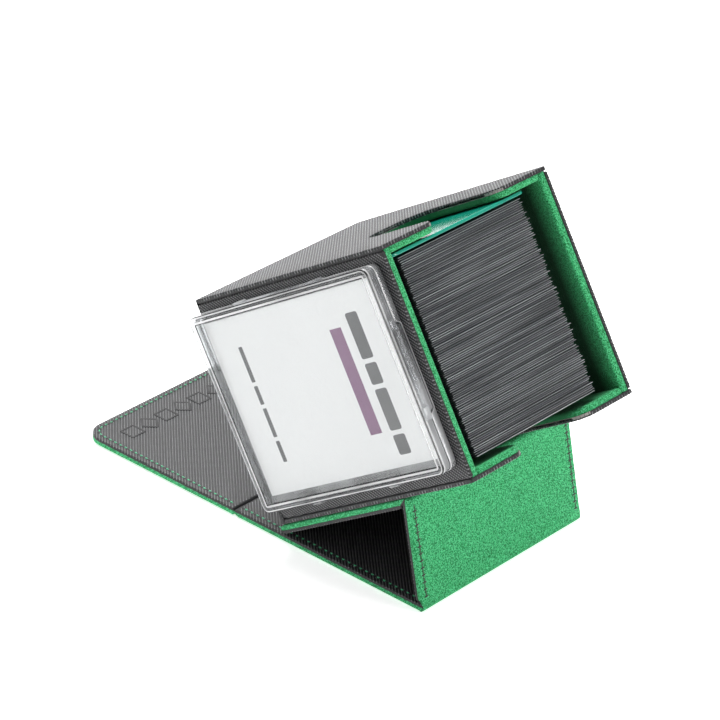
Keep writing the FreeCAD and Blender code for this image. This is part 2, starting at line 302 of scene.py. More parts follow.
def ribs(corners, radii, top, wrap, edge=0.35, lean=pi / 4, step=3.0, arc=7):
    """Ridges on a plate's outer face. Each follows a straight line at the lean angle from where it
    enters the outline to where it leaves, and goes over the rounded edge at both ends and down the
    rim by the wrap distance."""
    pitch, width, height = size("rib_pitch"), size("rib_width"), size("rib_height")
    rim = ring(corners, radii, 0.0, step, arc)
    d = np.array([cos(lean), sin(lean)])
    reach = rim @ np.array([-d[1], d[0]])
    lines = np.arange(reach.min() + 0.7 * pitch, reach.max(), pitch)
    after = np.roll(rim, -1, 0)
    ahead = np.roll(reach, -1)
    k, i = np.nonzero((reach - lines[:, None]) * (ahead - lines[:, None]) < 0)
    p = rim[i] + ((lines[k] - reach[i]) / (ahead[i] - reach[i]))[:, None] * (after - rim)[i]
    run = unit(after - rim)[i]
    out = np.column_stack([run[:, 1], -run[:, 0]])
    order = np.lexsort((p @ d, k))
    p, out = p[order], out[order]
    start, end, out0, out1 = p[0::2], p[1::2], out[0::2], out[1::2]
    keep = np.linalg.norm(end - start, axis=1) > 3.0
    start, end, out0, out1 = start[keep], end[keep], out0[keep], out1[keep]
    slope0 = np.clip(np.abs(out0 @ d), 0.4, 1)[:, None]
    slope1 = np.clip(np.abs(out1 @ d), 0.4, 1)[:, None]

    def station(flat, out, up, height_at):
        n = len(flat)
        return (np.column_stack([flat, np.full(n, height_at)]),
                unit(np.column_stack([out, np.full(n, float(up))])))

    bend = 0.293 * edge
    level = np.zeros_like(start)
    stations = [
        station(start, out0, 0, top - edge - wrap), station(start, out0, 0, top - edge),
        station(start + d * bend / slope0, out0, 1, top - bend),
        station(start + d * edge / slope0, level, 1, top),
        station(start * 0.67 + end * 0.33, level, 1, top),
        station(start * 0.33 + end * 0.67, level, 1, top),
        station(end - d * edge / slope1, level, 1, top),
        station(end - d * bend / slope1, out1, 1, top - bend),
        station(end, out1, 0, top - edge), station(end, out1, 0, top - edge - wrap)]
    path = np.stack([s[0] for s in stations], 1)
    normals = np.stack([s[1] for s in stations], 1)
    w = width / 2
    section = np.array([(w, -0.12), (w * 0.55, height * 0.8), (0, height), (-w * 0.55, height * 0.8),
                        (-w, -0.12)])
    sections = np.repeat(section[None], len(stations), 0)
    sections[[0, -1], :, 1] = -0.12 + 0.25 * (sections[[0, -1], :, 1] + 0.12)
    points, faces = sweep(path, normals, sections)
    far = (path @ np.array([d[0], d[1], 0]))[:, :, None] * MM
    uv = np.stack(np.broadcast_arrays(far, np.linspace(0, 1, len(section))), -1)
    return points, faces, uv.reshape(-1, 2)


def along_path(points, pitch, closed=False):
    """Places and directions at equal steps along a polyline, by interpolating over its length."""
    p = np.asarray(points, float)
    if closed:
        p = np.vstack([p, p[:1]])
    s = np.r_[0, np.cumsum(np.linalg.norm(np.diff(p, axis=0), axis=1))]
    n = max(int(s[-1] / pitch), 1)
    at = (np.arange(n) + 0.5) * s[-1] / n
    here = np.column_stack([np.interp(at, s, p[:, k]) for k in (0, 1)])
    near = np.column_stack([np.interp(at + 0.2, s, p[:, k]) - np.interp(at - 0.2, s, p[:, k])
                            for k in (0, 1)])
    return here, unit(near)


def beads(middles, directions, height, length, width, thick, sides=6):
    """Lozenges lying on a plane: rings of an ellipsoid about a direction in the plane, from one
    end to the other, each ring's radius the square root of one minus its distance squared."""
    x = np.array([-0.98, -0.6, 0.0, 0.6, 0.98])
    r = np.sqrt(1 - x ** 2)
    a = np.linspace(0, 2 * pi, sides, endpoint=False)
    n = len(middles)
    d = np.column_stack([directions, np.zeros(n)])
    up = np.array([0, 0, 1.0])
    side = np.cross(up, d)
    centre = np.column_stack([middles, np.full(n, height)])
    rings = (centre[:, None, None]
             + (length / 2) * x[None, :, None, None] * d[:, None, None]
             + (width / 2) * (r[:, None] * np.cos(a))[None, ..., None] * side[:, None, None]
             + (thick / 2) * (r[:, None] * np.sin(a))[None, ..., None] * up)
    return tubes(rings)


# ---------------------------------------------------------------- meshes

def add_piece(name, body, parts, finishes, stands_for=(), sharp=40.0, blend=None):
    """One mesh from parts (place, points, faces, finish number, uv or none), all faces pointing
    out, riding on a body, or left where it stands on no body when a blend is given."""
    points, faces, finish_of, uvs, count = [], [], [], [], 0
    for place, part_points, part_faces, finish, *uv in parts:
        points.append(place.at(part_points))
        faces += [[v + count for v in f] for f in part_faces]
        finish_of += [finish] * len(part_faces) if isinstance(finish, int) else list(finish)
        uvs.append(uv[0] if uv else np.asarray(part_points)[:, :2] * MM)
        count += len(part_points)
    mesh = bpy.data.meshes.new(name)
    mesh.from_pydata(np.concatenate(points), [], faces)
    mesh.polygons.foreach_set("material_index", np.array(finish_of, np.int32))
    mesh.polygons.foreach_set("use_smooth", np.array([len(f) < 7 for f in faces]))
    for f in finishes:
        mesh.materials.append(f)
    corner = np.zeros(len(mesh.loops), np.int32)
    mesh.loops.foreach_get("vertex_index", corner)
    layer = mesh.uv_layers.new(name="UVMap")
    layer.data.foreach_set("uv", np.concatenate(uvs)[corner].astype(np.float32).ravel())
    mesh.update()
    mesh.set_sharp_from_angle(angle=radians(sharp))
    piece = bpy.data.objects.new(name, mesh)
    bpy.context.scene.collection.objects.link(piece)
    if blend:
        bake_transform(piece)
    else:
        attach(piece, body)
    if stands_for:
        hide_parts(*stands_for)
    return piece


# ---------------------------------------------------------------- finishes

class Finish:
    """A material and the wiring of its nodes."""

    def __init__(self, name, base=(0.5, 0.5, 0.5, 1.0), **sockets):
        self.material = bpy.data.materials.new(name)
        self.material.use_nodes = True
        tree = self.material.node_tree
        self.nodes, self.links = tree.nodes, tree.links
        self.shader = self.nodes["Principled BSDF"]
        self.shader.inputs["Base Color"].default_value = base
        self.material.diffuse_color = base
        for socket, value in sockets.items():
            self.shader.inputs[socket.replace("_", " ")].default_value = value
        self.place = self.nodes.new("ShaderNodeTexCoord")

    def node(self, kind, inputs=None, **settings):
        made = self.nodes.new("ShaderNode" + kind)
        for key, value in settings.items():
            setattr(made, key, value)
        for key, value in (inputs or {}).items():
            self.put(made.inputs[key], value)
        return made

    def put(self, socket, value):
        if isinstance(value, bpy.types.NodeSocket):
            self.links.new(value, socket)
        else:
            socket.default_value = value

    def noise(self, per_metre, detail=3.0, roughness=0.6, stretch=None, source="Object"):
        """Noise on the piece's own coordinates, with so many features to a metre."""
        vector = self.place.outputs[source]
        if stretch:
            vector = self.node("Mapping", {"Vector": vector, "Scale": stretch}).outputs[0]
        made = self.node("TexNoise", {"Vector": vector, "Scale": per_metre, "Detail": detail,
                                      "Roughness": roughness})
        return made.outputs["Fac"]

    def maths(self, operation, a, b=0.0):
        return self.node("Math", {0: a, 1: b}, operation=operation).outputs[0]

    def mix(self, factor, a, b, blend="MIX"):
        made = self.node("Mix", data_type="RGBA", blend_type=blend)
        for socket, value in ((0, factor), (6, a), (7, b)):
            self.put(made.inputs[socket], value)
        return made.outputs[2]

    def band(self, factor, low, high):
        """A factor stretched so that low becomes 0 and high becomes 1."""
        return self.node("MapRange", {"Value": factor, "From Min": low, "From Max": high}).outputs[0]

    def colour(self, value):
        self.put(self.shader.inputs["Base Color"], value)

    def bump(self, height, distance_mm, strength=1.0, under=None):
        inputs = {"Height": height, "Distance": distance_mm * MM, "Strength": strength}
        if under is not None:
            inputs["Normal"] = under
        made = self.node("Bump", inputs)
        self.put(self.shader.inputs["Normal"], made.outputs[0])
        return made.outputs[0]


def make_sheet():
    """Black coated sheet between the ribs: near black, faintly pebbled."""
    f = Finish("black_coated_sheet", tint("sheet"), Roughness=0.55)
    grain = f.noise(2200, 2.0)
    f.colour(f.mix(f.band(f.noise(260), 0.3, 0.7), tint("sheet"), (0.014, 0.0145, 0.016, 1)))
    f.bump(grain, 0.05)
    return f.material


def make_rib():
    """Woven rib: short ticks across it every 0.85 mm, from the distance along it in the UV map."""
    f = Finish("woven_rib", tint("rib"), Roughness=0.38, Coat_Weight=0.2, Coat_Roughness=0.4)
    uv = f.node("SeparateXYZ", {0: f.place.outputs["UV"]})
    wave = f.maths("SINE", f.maths("MULTIPLY", uv.outputs[0], 2 * pi / (0.85 * MM)))
    tick = f.band(wave, -0.9, 0.5)
    worn = f.mix(f.band(f.noise(900, 2.0), 0.25, 0.75), (0.13, 0.131, 0.136, 1), tint("rib"))
    f.colour(f.mix(tick, (0.040, 0.041, 0.045, 1), worn))
    f.put(f.shader.inputs["Roughness"], f.node("MapRange", {
        "Value": tick, "To Min": 0.6, "To Max": 0.36}).outputs[0])
    f.bump(wave, 0.07)
    return f.material


def make_suede(name="green_suede", painted_shade=None):
    """Short green nap: patches brushed two ways, a fine fibre noise, and a velvety sheen. Inside
    the box it can be given a painted shade, darker below the mouth's first few millimetres."""
    f = Finish(name, tint("suede"), Roughness=0.92, Sheen_Weight=0.12,
               Sheen_Roughness=0.45, Sheen_Tint=(0.45, 1.0, 0.6, 1.0))
    patches = f.noise(120, 4.0, 0.65)
    fibre = f.noise(1200, 3.0, 0.7)
    speck = f.noise(2200, 1.0, 0.6)
    nap = f.maths("ADD", f.maths("MULTIPLY", patches, 0.3), f.maths("MULTIPLY", fibre, 0.7))
    base = f.mix(f.band(nap, 0.42, 0.56), tint("suede_shade"), tint("suede"))
    base = f.mix(f.band(speck, 0.50, 0.60), base, (0.10, 0.62, 0.27, 1))
    base = f.mix(f.band(speck, 0.48, 0.38), base, (0.006, 0.17, 0.048, 1))
    # Painted shade: from half a millimetre below the mouth to nine millimetres below it, the colour fades
    # into the painted shade colour, standing for the shade deep inside the box.
    if painted_shade is not None:
        axis = JOINTS["deck_slide"]["axis"]
        mouth = float(np.dot(BOX.at((0, 0, HEIGHT)), axis))
        high = f.node("VectorMath", {0: f.place.outputs["Object"], 1: axis},
                      operation="DOT_PRODUCT").outputs["Value"]
        base = f.mix(f.band(high, mouth - 9 * MM, mouth - 0.5 * MM), painted_shade, base)
    f.colour(base)
    fine = f.bump(fibre, 0.45)
    f.bump(speck, 0.20, under=fine)
    return f.material


def make_thread(name, base):
    """Twisted thread: fine lines across the stitch, from noise squeezed along it."""
    f = Finish(name, base, Roughness=0.6, Sheen_Weight=0.2)
    twist = f.noise(2600, 2.0)
    dark = tuple(0.45 * c for c in base[:3]) + (1.0,)
    f.colour(f.mix(f.band(twist, 0.35, 0.6), dark, base))
    f.bump(twist, 0.08)
    return f.material


def clear_plastic(name, seen, grazing, gloss_share):
    """Thin clear plastic: lets light through with the seen tint face on and the grazing tint edge
    on, and reflects more as the surface turns away: a fortieth face on, and the rest by the fifth
    power of how far it has turned."""
    f = Finish(name, seen, Roughness=0.03)
    bend = f.bump(f.noise(60, 1.0), 0.01, 0.2)
    facing = f.node("LayerWeight", {"Blend": 0.5}).outputs["Facing"]
    tinted = f.mix(f.maths("POWER", facing, 3.0), seen, grazing)
    through = f.node("BsdfTransparent", {"Color": tinted})
    gloss = f.node("BsdfAnisotropic", {"Color": (1, 1, 1, 1), "Roughness": 0.06, "Normal": bend})
    shine = f.maths("MULTIPLY_ADD", f.maths("POWER", facing, 5.0), gloss_share)
    shine.node.inputs[2].default_value = 0.025
    both = f.node("MixShader", {0: shine, 1: through.outputs[0], 2: gloss.outputs[0]})
    f.links.new(both.outputs[0], f.nodes["Material Output"].inputs["Surface"])
    return f, both


def make_clear():
    """Window of the display case."""
    return clear_plastic("clear_acrylic", (0.985, 0.99, 0.99, 1), (0.45, 0.47, 0.48, 1), 0.7)[0].material


def clear_plastic_painted_light(name, seen, grazing, gloss_share, painted_tone, least, spread):
    """Clear plastic mixed with an opaque painted tone, in a share which varies slowly from place to place:
    painted light where the tone is pale, painted shade where it is dark.
    """
    f, both = clear_plastic(name, seen, grazing, gloss_share)
    f.shader.inputs["Base Color"].default_value = painted_tone
    f.shader.inputs["Roughness"].default_value = 0.12
    share = f.maths("MULTIPLY_ADD", f.band(f.noise(45, 1.0), 0.35, 0.65), spread)
    share.node.inputs[2].default_value = least
    mixed = f.node("MixShader", {0: share, 1: both.outputs[0], 2: f.shader.outputs[0]})
    f.links.new(mixed.outputs[0], f.nodes["Material Output"].inputs["Surface"])
    return f.material


def make_clear_wall_painted_light():
    """Walls of the display case, which gather light along their thickness: a pale painted light mixed in
    makes them look milky.
    """
    return clear_plastic_painted_light("clear_acrylic_wall_painted_light", (0.86, 0.87, 0.88, 1), (0.24, 0.25, 0.26, 1),
                         0.6, (0.86, 0.87, 0.88, 1), 0.08, 0.30)


def make_clear_bend_painted_shade():
    """Tight bends of the display case, which throw the light aside: a dark painted shade mixed in makes them
    look dark.
    """
    return clear_plastic_painted_light("clear_acrylic_bend_painted_shade", (0.07, 0.072, 0.075, 1), (0.02, 0.021, 0.022, 1),
                         0.10, (0.05, 0.05, 0.053, 1), 0.35, 0.20)


def make_clear_land_painted_highlight():
    """Narrow lands of the display case that catch the light: a pale painted highlight is mixed in."""
    return clear_plastic_painted_light("clear_acrylic_land_painted_highlight", (0.95, 0.955, 0.96, 1), (0.6, 0.61, 0.62, 1),
                         0.8, (0.90, 0.90, 0.91, 1), 0.40, 0.30)


def make_card_stock(name, base, gloss=0.35):
    """Printed card: a faint paper mottle under a satin coat."""
    f = Finish(name, base, Roughness=gloss)
    shade = tuple(0.965 * c for c in base[:3]) + (1.0,)
    f.colour(f.mix(f.band(f.noise(700, 3.0), 0.3, 0.7), shade, base))
    f.bump(f.noise(2500, 2.0), 0.01)
    return f.material


def make_sleeve():
    """Matt sleeve film on edge: slate, streaked along each card."""
    f = Finish("sleeve_film", tint("sleeve"), Roughness=0.42)
    streak = f.noise(900, 2.0, 0.5, stretch=(2.5, 0.04, 2.5))
    f.colour(f.mix(f.band(streak, 0.35, 0.65), (0.004, 0.005, 0.006, 1), (0.012, 0.014, 0.017, 1)))
    f.bump(streak, 0.05)
    return f.material


def make_sleeve_lip():
    f = Finish("sleeve_lip", (0.16, 0.175, 0.19, 1), Roughness=0.3)
    streak = f.noise(700, 2.0, 0.5, stretch=(2.0, 0.03, 2.0))
    f.colour(f.mix(f.band(streak, 0.4, 0.6), (0.24, 0.25, 0.26, 1), (0.58, 0.60, 0.62, 1)))
    return f.material


def make_divider():
    """Teal polypropylene: glossy, with faint moulding haze."""
    f = Finish("teal_plastic", tint("divider"), Roughness=0.18, Coat_Weight=0.4,
               Coat_Roughness=0.1)
    f.colour(f.mix(f.band(f.noise(40, 2.0), 0.3, 0.7), tint("divider"), (0.01, 0.36, 0.25, 1)))
    f.bump(f.noise(1800, 1.0), 0.01)
    return f.material


def make_greyboard():
    """Pressed grey board: fibre flecks."""
    f = Finish("pressed_greyboard", (0.30, 0.29, 0.27, 1), Roughness=0.9)
    f.colour(f.mix(f.band(f.noise(1400, 4.0), 0.35, 0.65), (0.22, 0.21, 0.20, 1),
                   (0.38, 0.37, 0.34, 1)))
    f.bump(f.noise(1800, 3.0), 0.05)
    return f.material


def make_magnet():
    """Nickel-plated disc: brushed lightly."""
    f = Finish("nickel_plate", (0.60, 0.60, 0.61, 1), Metallic=1.0, Roughness=0.28)
    brushed = f.noise(1500, 2.0, 0.6, stretch=(1, 0.1, 1))
    f.colour(f.mix(f.band(brushed, 0.3, 0.7), (0.50, 0.50, 0.51, 1), (0.66, 0.66, 0.67, 1)))
    return f.material


FINISHES = {
    "sheet": make_sheet, "rib": make_rib, "suede": make_suede, "clear": make_clear,
    # The next two are the green suede with a painted shade inside the box: darker for the front, back and
    # floor, lighter for the sides.
    "bay_suede_painted_shade": lambda: make_suede("bay_suede_painted_shade", (0.003, 0.060, 0.020, 1)),
    "side_suede_painted_shade": lambda: make_suede("side_suede_painted_shade", (0.008, 0.135, 0.045, 1)),
    "clear_wall_painted_light": make_clear_wall_painted_light, "clear_bend_painted_shade": make_clear_bend_painted_shade, "clear_land_painted_highlight": make_clear_land_painted_highlight,
    "sleeve": make_sleeve, "lip": make_sleeve_lip, "divider": make_divider,
    "board": make_greyboard, "magnet": make_magnet,
    # Needle holes: near-black lozenges laid on the sheet as painted shade of the holes.
    "hole_painted_shade": lambda: make_thread("needle_hole_painted_shade", (0.002, 0.002, 0.002, 1)),
    "thread": lambda: make_thread("outside_thread", tint("thread")),
    "thread_dark": lambda: make_thread("inside_thread", tint("thread_dark")),
    "insert": lambda: make_card_stock("insert_card", tint("insert")),
    "band": lambda: make_card_stock("print_band", tint("band"), 0.45),
    "ink": lambda: make_card_stock("print_ink", tint("print_grey"), 0.45),
}
_made = {}


def finish(name):
    """The named finish, made the first time it is asked for."""
    if name not in _made:
        _made[name] = FINISHES[name]()
    return _made[name]


# ---------------------------------------------------------------- the pieces

def rectangle(x0, y0, x1, y1):
    return [(x0, y0), (x1, y0), (x1, y1), (x0, y1)]


def covered(place, corners, radii, low, high, wrap, hollow=None, edge=0.35, lean=pi / 4, step=3.0):
    """A sheet-covered plate: rounded plate, optional hollow for its board, and ribs outside."""
    top = high - size("rib_height") * 0.6
    parts = [(place, *plate(corners, radii, rounded_levels(low, top, 0.12, edge), step), 0)]
    if hollow:
        inset, inner_low, inner_high = hollow
        parts.append((place, *plate(corners, radii, [(inset, inner_low), (inset, inner_high)], step,
                                    inward=True), 0))
    points, faces, uv = ribs(corners, radii, top, wrap, edge, lean, step)
    parts.append((place, points, faces, 1, uv))
    return parts


def panel_outline(name, start):
    """A panel's outline in its own frame as (corners, radii), from a little before its fold."""
    _, reach = PANELS[name]
    if name == "flap":
        return rectangle(start, 0, reach, DEPTH), [0.3, FLAP_CORNER, FLAP_CORNER, 0.3]
    return rectangle(start, 0, reach - CLEARANCE, DEPTH), [0.3] * 4


def swapped(corners, radii):
    """The same outline with its axes exchanged, still anticlockwise."""
    return [(y, x) for x, y in corners][::-1], list(radii)[::-1]


def half_bead(low, high, r, steps=9):
    """Profile of the part of a fold's round bead between two heights, closed just past its axis."""
    a0, a1 = np.arcsin(np.clip(low / r, -1, 1)), np.arcsin(np.clip(high / r, -1, 1))
    a = np.linspace(a0, a1, steps)
    arc = np.column_stack([-r * np.cos(a), r * np.sin(a)])
    return np.vstack([arc, [(0.3, high - 0.03 * np.sign(high)), (0.3, low - 0.03 * np.sign(low))]])


def notched(first_is_t):
    """Side wall outline with its thumb notch, in (t, v) or (v, t), as (corners, radii)."""
    near, far = NOTCH_MIDDLE - NOTCH_HALF, NOTCH_MIDDLE + NOTCH_HALF
    corners = [(0, 0), (HEIGHT, 0), (HEIGHT, near), (NOTCH_BOTTOM, near), (NOTCH_BOTTOM, far),
               (HEIGHT, far), (HEIGHT, DEPTH), (0, DEPTH)]
    radii = [0.4, 0.8, NOTCH_FLARE, NOTCH_LOW_RADIUS, NOTCH_LOW_RADIUS, NOTCH_FLARE, 0.8, 0.4]
    return (corners, radii) if first_is_t else swapped(corners, radii)


class DECKBOX_OT_panels(Operator):
    """Build the four cover panels: black sheet outside and suede lining, each with its fold bead"""
    bl_idname = "deckbox.panels"
    bl_label = "Cover panels"
    bl_options = {"REGISTER", "UNDO"}

    def execute(self, context):
        for name, (place, _) in PANELS.items():
            self.skin(name, place)
            self.lining(name, place)
        return {"FINISHED"}

    def skin(self, name, place):
        """Tray of black sheet under a board, ribbed outside, with the black part of the bead."""
        corners, radii = swapped(*panel_outline(name, -0.4))
        back = outside(name)
        top = HALF - size("rib_height") * 0.6
        edge = 0.35
        levels = [(1.35, -BOARD_TOP + 0.02), (1.3, -GLUE_LINE), (0.4, -GLUE_LINE)]
        levels += rounded_levels(-GLUE_LINE, top, 0.1, edge)[1:]
        parts = [(back, *plate(corners, radii, levels), 0)]
        points, faces, uv = ribs(corners, radii, top, 0.05, edge)
        parts.append((back, points, faces, 1, uv))
        bead = half_bead(-(HALF - size("rib_height") * 0.6), GLUE_LINE, HALF - 0.1)
        parts.append((place, *bar(bead, 0.15, DEPTH - 0.15), 0))
        add_piece(f"{name}_cover_sheet", f"{name}_panel", parts,
                  [finish("sheet"), finish("rib")], [f"{name}_skin"])

    def lining(self, name, place):
        """Suede sheet with soft edges and the green part of the bead."""
        corners, radii = panel_outline(name, -0.8)
        levels = rounded_levels(GLUE_LINE, HALF, 0.1, size("lining_round"), 6)
        parts = [(place, *plate(corners, np.maximum(radii, 0.6), levels), 0),
                 (place, *bar(half_bead(GLUE_LINE, HALF, HALF), 0.1, DEPTH - 0.1, 0.6), 0)]
        add_piece(f"{name}_suede", f"{name}_panel", parts, [finish("suede")],
                  [f"{name}_lining"])


# Where a fold's web meets the next panel's bead: angles about the fold from straight ahead, turning
# towards the black side, of its black and its green edge at rest.
WEB_ANGLES = {"kick": (-75, -90), "top": (-75, -90), "flap": (150, 210)}
BEFORE = {"kick": "lower", "top": "kick", "flap": "top"}


class DECKBOX_OT_fold_webs(Operator):
    """Build the strips of sheet and suede that join one panel to the next at each fold"""
    bl_idname = "deckbox.fold_webs"
    bl_label = "Fold webs"
    bl_options = {"REGISTER", "UNDO"}

    def execute(self, context):
        for name, angles in WEB_ANGLES.items():
            before = BEFORE[name]
            place, reach = PANELS[before]
            black, green = np.radians(angles)
            middle = (black + green) / 2
            r = HALF - 0.05

            def on_bead(a):
                return reach + r * cos(a), -r * sin(a)

            start, glue = reach - CLEARANCE - 1.0, GLUE_LINE
            halves = {"sheet": [(start, -HALF + 0.08), on_bead(black), on_bead(middle), (start, glue)],
                      "suede": [(start, glue), on_bead(middle), on_bead(green), (start, HALF + 0.01)]}
            a = place.at((reach - CLEARANCE - 0.9, 0, 0))
            b = place.at((reach - HALF - 0.05, 0, 0))
            bodies = (f"{before}_panel", f"{name}_panel")
            for half, profile in halves.items():
                add_piece(f"{name}_fold_{half}", None,
                          [(place, *bar(profile, 0.2, DEPTH - 0.2, 0.2), 0)], [finish(half)],
                          blend=(*bodies, tuple(a), tuple(b)))
        self.lower()
        return {"FINISHED"}

    def lower(self):
        """Sheet from under the box's low edge round to the lower panel's bead."""
        strip = BOX.turned((0, 0, 0), "x", "y")
        foot = [(WIDTH - 9, 0.0), (WIDTH, 0.0), (WIDTH, -1.75), (WIDTH - 1.5, -1.6)]
        add_piece("hinge_sheet", "box", [(strip, *bar(foot, 0.1, DEPTH - 0.1), 0)],
                  [finish("sheet")], ["hinge_strip"])


class DECKBOX_OT_stitches(Operator):
    """Sew the seams: mint thread on the black side, dark thread on the green side"""
    bl_idname = "deckbox.stitches"
    bl_label = "Stitches"
    bl_options = {"REGISTER", "UNDO"}

    def execute(self, context):
        inset, pitch = size("seam_inset"), size("stitch_pitch")
        for name, (place, reach) in PANELS.items():
            end = reach - (0 if name == "flap" else CLEARANCE) - 1.2
            if name == "flap":
                half = ring(rectangle(-40, inset, reach - inset, DEPTH - inset),
                            [0.3, FLAP_CORNER - inset, FLAP_CORNER - inset, 0.3], 0, 2.0, 12)
                start = int(np.argmax((half[:, 0] > 0.8) & (half[:, 1] < inset + 0.01)))
                half = np.roll(half, -start, 0)
                seams = [half[half[:, 0] > 0.8]]
            else:
                seams = [np.array([(0.8, v), (end, v)]) for v in (inset, DEPTH - inset)]
            here, way = (np.concatenate(a) for a in zip(*[along_path(s, pitch) for s in seams]))
            back = outside(name)
            flip = lambda a: a[:, ::-1]
            long, wide = size("stitch_length"), size("stitch_width")
            top = HALF + 0.02
            holes = here + way * pitch / 2
            sunk = HALF - (0.12 if name == "flap" else 0.02)
            add_piece(f"{name}_outer_seam", f"{name}_panel", [
                (back, *beads(flip(here), flip(way), top, long, wide, wide), 0),
                # Black lozenges between the stitches are painted shade of the needle holes.
                (back, *beads(flip(holes), flip(way), top + 0.04, pitch, 1.2, 0.28), 1)],
                [finish("thread"), finish("hole_painted_shade")], sharp=80)
            add_piece(f"{name}_inner_seam", f"{name}_panel", [
                (place, *beads(here, way, sunk, pitch * 0.98, 0.7, 0.34), 0),
                (place, *beads(holes, np.column_stack([-way[:, 1], way[:, 0]]), sunk,
                               2.4, 0.8, 0.32), 0)],
                [finish("thread_dark")], sharp=80)
        return {"FINISHED"}


class DECKBOX_OT_emblem(Operator):
    """Press a plain ornament of bars and lozenges into the flap's outer face"""
    bl_idname = "deckbox.emblem"
    bl_label = "Pressed ornament"
    bl_options = {"REGISTER", "UNDO"}

    def execute(self, context):
        x, top = FLAP_LENGTH - 13.0, HALF - 0.02
        parts = []
        for k, v in enumerate(np.linspace(13.0, 76.0, 8)):
            long, wide = (8.6, 9.6) if k % 2 else (7.2, 7.2)
            corners = ([(v - long / 2, x), (v, x - wide / 2), (v + long / 2, x), (v, x + wide / 2)]
                       if k % 2 else rectangle(v - long / 2, x - wide / 2, v + long / 2, x + wide / 2))
            frame_levels = rounded_levels(top - 0.3, top + 0.2, 0.05, 0.15)
            frame_levels += [(0.75, top + 0.2), (0.9, top + 0.05), (0.95, top + 0.04)]
            parts.append((outside("flap"), *plate(corners, 0.5, frame_levels, 2.0, 5), 0))
        add_piece("flap_ornament", "flap_panel", parts, [finish("sheet")])
        return {"FINISHED"}


class DECKBOX_OT_walls(Operator):
    """Build the box's covered walls and bottom"""
    bl_idname = "deckbox.walls"
    bl_label = "Box walls"
    bl_options = {"REGISTER", "UNDO"}

    def execute(self, context):
        black = [finish("sheet"), finish("rib")]
        hollow = (SKIN, -WALL + 0.1, -SKIN)
        for name, place, outline, bottom, lean in (
                ("side_a", SIDE_A, notched(True), (SKIN, 0), -pi / 4),
                ("side_b", SIDE_B, notched(False), (0, SKIN), pi / 4)):
            corners, radii = outline
            add_piece(f"{name}_cover", "box",
                      covered(place, np.maximum(corners, bottom), radii, -WALL, 0, 1.1, hollow,
                              lean=lean),
                      black, [f"{name}_skin"])
        x0, x1 = WALL + GROOVE, WIDTH - WALL - GROOVE
        for name, place, corners in (("front", FRONT, rectangle(x0, SKIN, x1, HEIGHT)),
                                     ("back", BACK, rectangle(SKIN, x0, HEIGHT, x1))):
            add_piece(f"{name}_cover", "box",
                      covered(place, corners, [0.5] * 4, -WALL, 0, 1.1, hollow), black,
                      [f"{name}_skin"])
        add_piece("bottom_cover", "box",
                  covered(BOTTOM, rectangle(0, 0, DEPTH, WIDTH), [0.6] * 4, -SKIN, 0, 0.1,
                          edge=0.25), black, ["bottom_skin"])
        upright = BOX.turned((0, 0, 0), "x", "y")
        strips = []
        for u in (WALL, WIDTH - WALL - GROOVE):
            for v in (0.75, DEPTH - WALL):
                strips.append((upright, *plate(rectangle(u, v, u + GROOVE, v + WALL - 0.75), 0.05,
                                               [(0, SKIN), (0, HEIGHT - 0.8)], 9.0, 3), 0))
        add_piece("corner_strips", "box", strips, [finish("sheet")])
        return {"FINISHED"}


class DECKBOX_OT_linings(Operator):
    """Build the suede linings of the four walls and the floor"""
    bl_idname = "deckbox.linings"
    bl_label = "Box linings"
    bl_options = {"REGISTER", "UNDO"}

    def execute(self, context):
        # The linings carry a painted shade below the mouth: lighter on the sides, darker on the front, back
        # and floor.
        suede, ends = [finish("side_suede_painted_shade")], [finish("bay_suede_painted_shade")]
        for name, place, outline in (("side_a", SIDE_A, notched(True)),
                                     ("side_b", SIDE_B, notched(False))):
            corners, radii = outline
            axis = 0 if name == "side_a" else 1
            low = np.array([FLOOR_TOP, INNER_FRONT] if axis == 0 else [INNER_FRONT, FLOOR_TOP])
            high = np.array([HEIGHT - 0.3, DEPTH - INNER_FRONT] if axis == 0
                            else [DEPTH - INNER_FRONT, HEIGHT - 0.3])
            corners = np.clip(np.array(corners, float), low, high)
            inner = place.turned((0, 0, -WALL), "y", "x")
            corners, radii = swapped(corners, radii)
            levels = rounded_levels(0.0, INNER_SIDE - WALL, 0.25, 1.3, 7)
            add_piece(f"{name}_suede", "box",
                      [(inner, *plate(corners, np.maximum(radii, 0.5), levels, 3.0, 9), 0)],
                      suede, [f"{name}_lining"])
        for name, place, corners in (
                ("front", FRONT, rectangle(WALL, FLOOR_TOP, WIDTH - WALL, HEIGHT - 0.3)),
                ("back", BACK, rectangle(FLOOR_TOP, WALL, HEIGHT - 0.3, WIDTH - WALL))):
            inner = place.turned((0, 0, -WALL), "y", "x")
            corners, radii = swapped(corners, [0.4] * 4)
            levels = rounded_levels(0.0, INNER_FRONT - WALL, 0.2, 0.9, 6)
            add_piece(f"{name}_suede", "box",
                      [(inner, *plate(corners, radii, levels), 0)], ends, [f"{name}_lining"])
        floor = BOX.turned((0, 0, WALL), "x", "y")
        add_piece("floor_suede", "box", [
            (floor, *plate(rectangle(WALL, WALL, WIDTH - WALL, DEPTH - WALL), 0.4,
                           rounded_levels(0, FLOOR_TOP - WALL, 0.1, 0.4)), 0)],
            ends, ["floor_lining"])
        return {"FINISHED"}


